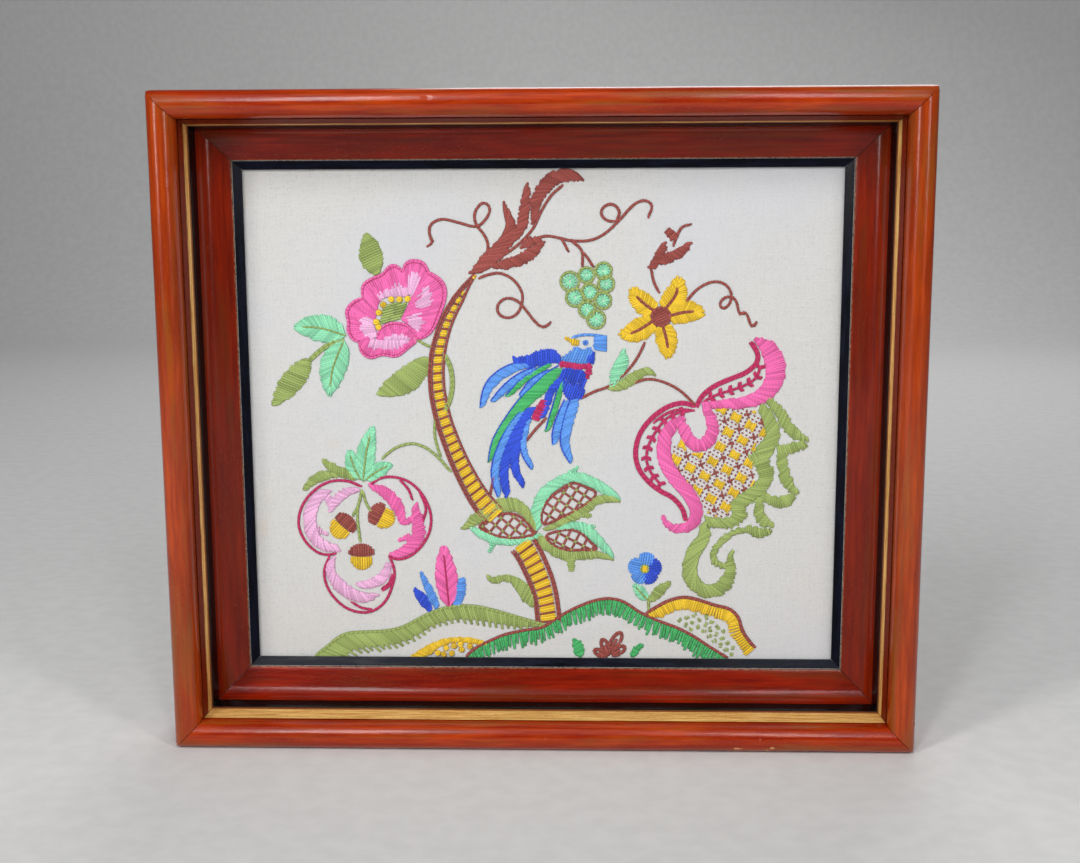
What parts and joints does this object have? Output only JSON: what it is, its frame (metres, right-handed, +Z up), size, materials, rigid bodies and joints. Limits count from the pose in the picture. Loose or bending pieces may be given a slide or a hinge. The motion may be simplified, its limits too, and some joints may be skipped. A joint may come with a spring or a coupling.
{
  "type": "crewel embroidery panel in a wooden frame",
  "caption": "Linen panel of crewel wool embroidery, stretched flat in a deep stacked wooden frame that stands on its bottom edge.",
  "frame": {"origin": "middle of the footprint, on the surface the frame stands on", "axes": "+Z up the panel, +X to the right seen from the front, -Y out of the embroidered front"},
  "size_m": [0.36, 0.046, 0.315],
  "materials": {
    "outer_moulding": "polished red mahogany",
    "gilt": "worn gilding on brown ground",
    "inner_moulding": "polished dark red mahogany, ebonised outer band",
    "ebonised": "ebonised, satin",
    "linen": "unbleached plain-weave linen",
    "board": "plain hardboard, matt",
    "wool_olive": "twisted two-ply wool yarn, matt",
    "wool_mint": "twisted two-ply wool yarn, matt",
    "wool_emerald": "twisted two-ply wool yarn, matt",
    "wool_hot_pink": "twisted two-ply wool yarn, matt",
    "wool_pale_pink": "twisted two-ply wool yarn, matt",
    "wool_crimson": "twisted two-ply wool yarn, matt",
    "wool_brown": "twisted two-ply wool yarn, matt",
    "wool_yellow": "twisted two-ply wool yarn, matt",
    "wool_royal_blue": "twisted two-ply wool yarn, matt",
    "wool_sky_blue": "twisted two-ply wool yarn, matt"
  },
  "bodies": {
    "root": {"outer_moulding_bottom": "outer_moulding", "outer_moulding_left": "outer_moulding", "outer_moulding_top": "outer_moulding", "outer_moulding_right": "outer_moulding", "gilt_slip_bottom": "gilt", "gilt_slip_left": "gilt", "gilt_slip_top": "gilt", "gilt_slip_right": "gilt", "inner_moulding_bottom": "inner_moulding", "inner_moulding_left": "inner_moulding", "inner_moulding_top": "inner_moulding", "inner_moulding_right": "inner_moulding", "black_slip_bottom": "ebonised", "black_slip_left": "ebonised", "black_slip_top": "ebonised", "black_slip_right": "ebonised", "linen_panel": "linen", "backing_board": "board"}
  },
  "joints": []
}
